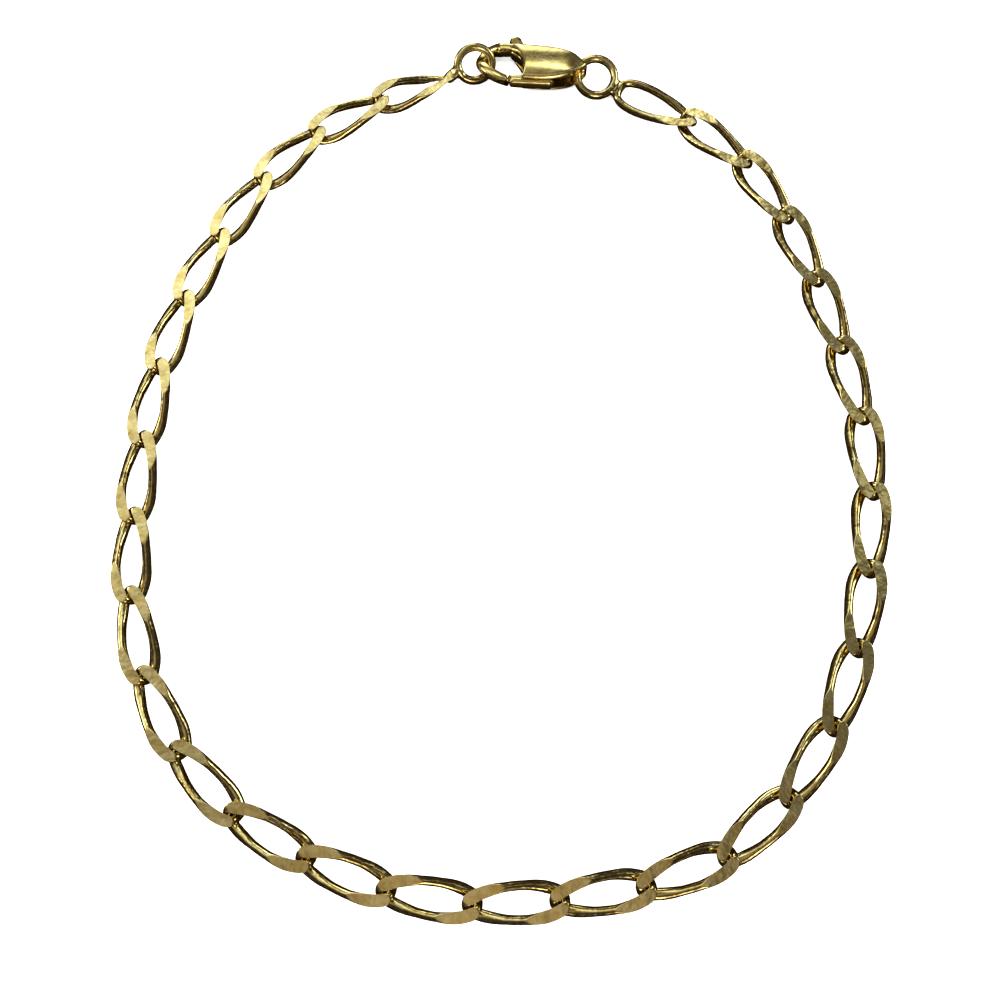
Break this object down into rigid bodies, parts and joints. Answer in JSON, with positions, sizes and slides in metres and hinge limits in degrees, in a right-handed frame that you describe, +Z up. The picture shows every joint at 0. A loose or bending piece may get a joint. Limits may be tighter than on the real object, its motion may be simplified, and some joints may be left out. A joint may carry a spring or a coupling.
{
  "type": "link bracelet",
  "caption": "Thin gold bracelet of flat filed curb links closed into a loop by a lobster clasp with a sprung thumb lever, worn round a wrist.",
  "frame": {"origin": "on the table, under the middle of the closed bracelet's box", "axes": "+Z up from the table, +Y toward the clasp along the loop's longer width, +X toward the clasp's tail side"},
  "size_m": [0.0584, 0.07, 0.0021],
  "materials": {
    "chain_gold": "polished, flats satin",
    "clasp_gold": "polished"
  },
  "bodies": {
    "bracelet": {"clasp_body": "clasp_gold", "clasp_rivet": "chain_gold", "end_link_tail": "chain_gold", "end_link_hook": "chain_gold", "link_01": "chain_gold", "link_02": "chain_gold", "link_03": "chain_gold", "link_04": "chain_gold", "link_05": "chain_gold", "link_06": "chain_gold", "link_07": "chain_gold", "link_08": "chain_gold", "link_09": "chain_gold", "link_10": "chain_gold", "link_11": "chain_gold", "link_12": "chain_gold", "link_13": "chain_gold", "link_14": "chain_gold", "link_15": "chain_gold", "link_16": "chain_gold", "link_17": "chain_gold", "link_18": "chain_gold", "link_19": "chain_gold", "link_20": "chain_gold", "link_21": "chain_gold", "link_22": "chain_gold", "link_23": "chain_gold", "link_24": "chain_gold", "link_25": "chain_gold", "link_26": "chain_gold", "link_27": "chain_gold", "link_28": "chain_gold"},
    "lever": {"clasp_lever": "clasp_gold"}
  },
  "joints": [
    {"name": "lever_hinge", "type": "hinge", "parent": "bracelet", "child": "lever", "pos_m": [0.00518, 0.03098, 0.00116], "axis": [-0.0148, -0.1035, -0.9945], "range_deg": [0, 14], "stiffness_Nm_per_rad": 0.0005}
  ]
}
